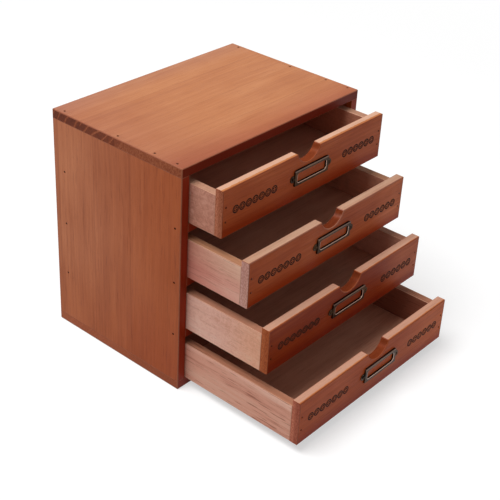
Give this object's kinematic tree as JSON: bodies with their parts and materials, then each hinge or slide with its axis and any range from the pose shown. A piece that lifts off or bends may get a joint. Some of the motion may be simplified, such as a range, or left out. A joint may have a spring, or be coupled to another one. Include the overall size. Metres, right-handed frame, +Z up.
{
  "type": "button storage drawers",
  "caption": "Stained wooden desktop cabinet with stacked pull-out drawers, each with a round finger notch and a metal label holder on its front.",
  "frame": {"origin": "centre of the carcass underside", "axes": "+Z up, -Y out of the front in the direction that the drawers pull, +X to the right of someone facing the drawers"},
  "size_m": [0.26, 0.3198, 0.2451],
  "materials": {
    "stained_wood": "satin reddish-brown stain",
    "bare_wood": "matte, unfinished",
    "plywood": "matte thin plywood, unfinished",
    "aged_brass": "antique dark bronze",
    "nail_steel": "dulled by the stain"
  },
  "bodies": {
    "carcass": {"top_board": "stained_wood", "bottom_board": "stained_wood", "left_side": "stained_wood", "right_side": "stained_wood", "divider_1": "stained_wood", "divider_2": "stained_wood", "divider_3": "stained_wood", "back_panel": "plywood", "top_board_nails": "nail_steel", "bottom_board_nails": "nail_steel", "left_side_nails": "nail_steel", "right_side_nails": "nail_steel", "back_panel_nails": "nail_steel"},
    "drawer_1": {"drawer_1_front": "stained_wood", "drawer_1_left_side": "bare_wood", "drawer_1_right_side": "bare_wood", "drawer_1_back": "bare_wood", "drawer_1_bottom": "plywood", "drawer_1_label_holder": "aged_brass", "drawer_1_label_screws": "aged_brass", "drawer_1_nails": "nail_steel"},
    "drawer_2": {"drawer_2_front": "stained_wood", "drawer_2_left_side": "bare_wood", "drawer_2_right_side": "bare_wood", "drawer_2_back": "bare_wood", "drawer_2_bottom": "plywood", "drawer_2_label_holder": "aged_brass", "drawer_2_label_screws": "aged_brass", "drawer_2_nails": "nail_steel"},
    "drawer_3": {"drawer_3_front": "stained_wood", "drawer_3_left_side": "bare_wood", "drawer_3_right_side": "bare_wood", "drawer_3_back": "bare_wood", "drawer_3_bottom": "plywood", "drawer_3_label_holder": "aged_brass", "drawer_3_label_screws": "aged_brass", "drawer_3_nails": "nail_steel"},
    "drawer_4": {"drawer_4_front": "stained_wood", "drawer_4_left_side": "bare_wood", "drawer_4_right_side": "bare_wood", "drawer_4_back": "bare_wood", "drawer_4_bottom": "plywood", "drawer_4_label_holder": "aged_brass", "drawer_4_label_screws": "aged_brass", "drawer_4_nails": "nail_steel"}
  },
  "joints": [
    {"name": "drawer_1_slide", "type": "slide", "parent": "carcass", "child": "drawer_1", "axis": [0, -1, 0], "range_m": [-0.04, 0.11]},
    {"name": "drawer_2_slide", "type": "slide", "parent": "carcass", "child": "drawer_2", "axis": [0, -1, 0], "range_m": [-0.074, 0.076]},
    {"name": "drawer_3_slide", "type": "slide", "parent": "carcass", "child": "drawer_3", "axis": [0, -1, 0], "range_m": [-0.102, 0.048]},
    {"name": "drawer_4_slide", "type": "slide", "parent": "carcass", "child": "drawer_4", "axis": [0, -1, 0], "range_m": [-0.143, 0.007]}
  ]
}
